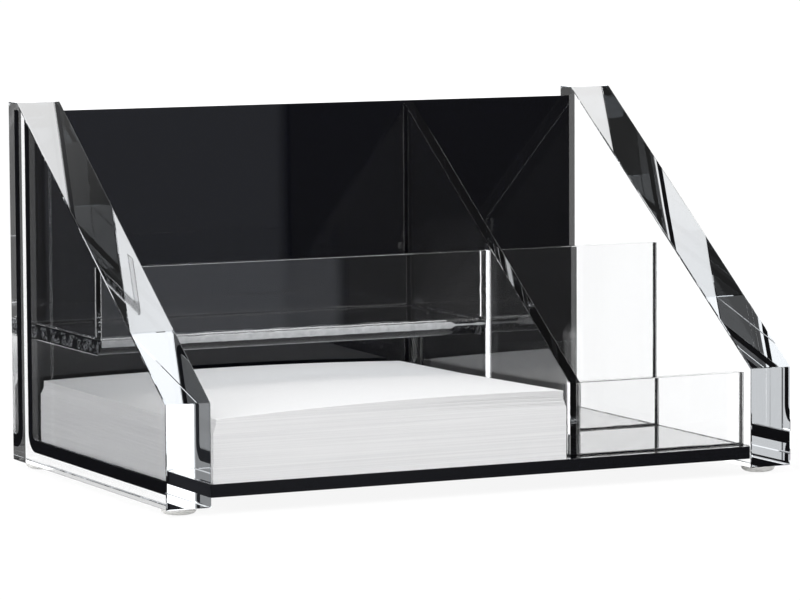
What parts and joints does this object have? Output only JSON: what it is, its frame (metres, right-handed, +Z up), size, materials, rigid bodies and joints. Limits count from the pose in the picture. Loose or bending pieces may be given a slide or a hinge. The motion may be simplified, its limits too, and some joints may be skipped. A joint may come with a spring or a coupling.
{
  "type": "desk tidy",
  "caption": "Clear and black acrylic desk tidy with an open note paper bay, a raised tray over it and two cups beside it.",
  "frame": {"origin": "on the desk, under the middle of the tidy", "axes": "+X from the note bay to the cups, +Y from the open front to the back, +Z up"},
  "size_m": [0.187, 0.1124, 0.1028],
  "materials": {
    "clear_slab": "polished clear acrylic",
    "clear_sheet": "clear acrylic",
    "black_sheet": "glossy black acrylic",
    "bumper": "milky translucent soft bumper",
    "note_paper": "matt white note paper"
  },
  "bodies": {
    "tidy": {"left_side_slab": "clear_slab", "right_side_slab": "clear_slab", "back_and_floor_sheet": "black_sheet", "centre_divider": "clear_sheet", "tray_floor": "clear_sheet", "tray_front_wall": "clear_sheet", "cup_front_wall": "clear_sheet", "low_front_wall": "clear_sheet", "foot_front_left": "bumper", "foot_front_right": "bumper", "foot_rear_left": "bumper", "foot_rear_right": "bumper"},
    "note_paper": {"note_paper_block": "note_paper", "curled_top_sheets": "note_paper"}
  },
  "joints": [
    {"name": "note_paper_slide", "type": "slide", "parent": "tidy", "child": "note_paper", "axis": [0, -1, 0], "range_m": [-0.0025, 0.05]}
  ]
}
